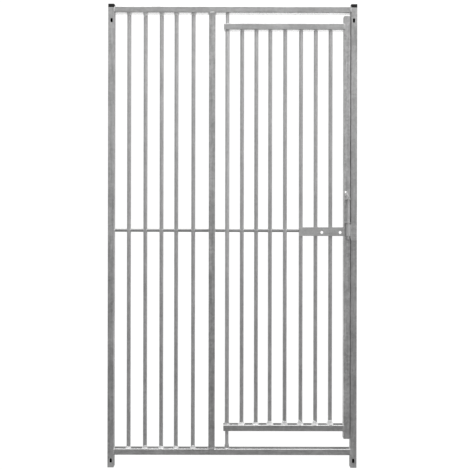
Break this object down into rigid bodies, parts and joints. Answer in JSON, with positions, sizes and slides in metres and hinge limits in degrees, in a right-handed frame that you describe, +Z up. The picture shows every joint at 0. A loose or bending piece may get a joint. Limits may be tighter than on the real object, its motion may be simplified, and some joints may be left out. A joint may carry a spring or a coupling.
{
  "type": "kennel panel",
  "caption": "Flat kennel front panel of galvanised square tube with a fixed barred bay, a barred swing door on a lift-off hinge, and a drop-bolt latch",
  "frame": {"origin": "on the floor, midway between the two posts, in the plane of the posts' front faces", "axes": "+X to the right along the panel, +Y to the back of the panel (into the kennel), +Z up"},
  "size_m": [1, 0.0644, 1.8605],
  "materials": {
    "galvanised_steel": "hot-dip galvanised, matt with a fine spangle",
    "bolt_steel": "zinc plated, worn bright where it slides",
    "black_plastic": "moulded, matt black"
  },
  "bodies": {
    "frame": {"left_post": "galvanised_steel", "right_post": "galvanised_steel", "left_post_cap": "black_plastic", "right_post_cap": "black_plastic", "top_rail": "galvanised_steel", "bottom_rail": "galvanised_steel", "middle_post": "galvanised_steel", "infill_stretcher": "galvanised_steel", "hinge_brace": "galvanised_steel", "hinge_socket": "galvanised_steel", "keeper_tube": "galvanised_steel", "keeper_tab": "galvanised_steel", "infill_bar_1": "galvanised_steel", "infill_bar_2": "galvanised_steel", "infill_bar_3": "galvanised_steel", "infill_bar_4": "galvanised_steel", "infill_bar_5": "galvanised_steel"},
    "door": {"door_hinge_rod": "galvanised_steel", "door_hinge_sleeve": "galvanised_steel", "door_bottom_rail": "galvanised_steel", "door_top_rail": "galvanised_steel", "door_stile": "galvanised_steel", "door_stretcher": "galvanised_steel", "lock_plate": "galvanised_steel", "lower_bolt_guide": "galvanised_steel", "upper_bolt_guide": "galvanised_steel", "door_bar_1": "galvanised_steel", "door_bar_2": "galvanised_steel", "door_bar_3": "galvanised_steel", "door_bar_4": "galvanised_steel", "door_bar_5": "galvanised_steel", "door_bar_6": "galvanised_steel", "door_bar_7": "galvanised_steel"},
    "bolt": {"drop_bolt": "bolt_steel", "bolt_stop_pin": "bolt_steel"}
  },
  "joints": [
    {"name": "door_swing", "type": "hinge", "parent": "frame", "child": "door", "pos_m": [-0.021, 0.0125, 0], "axis": [0, 0, 1], "range_deg": [0, 110]},
    {"name": "bolt_lift", "type": "slide", "parent": "door", "child": "bolt", "axis": [0, 0, 1], "range_m": [0, 0.064]}
  ]
}
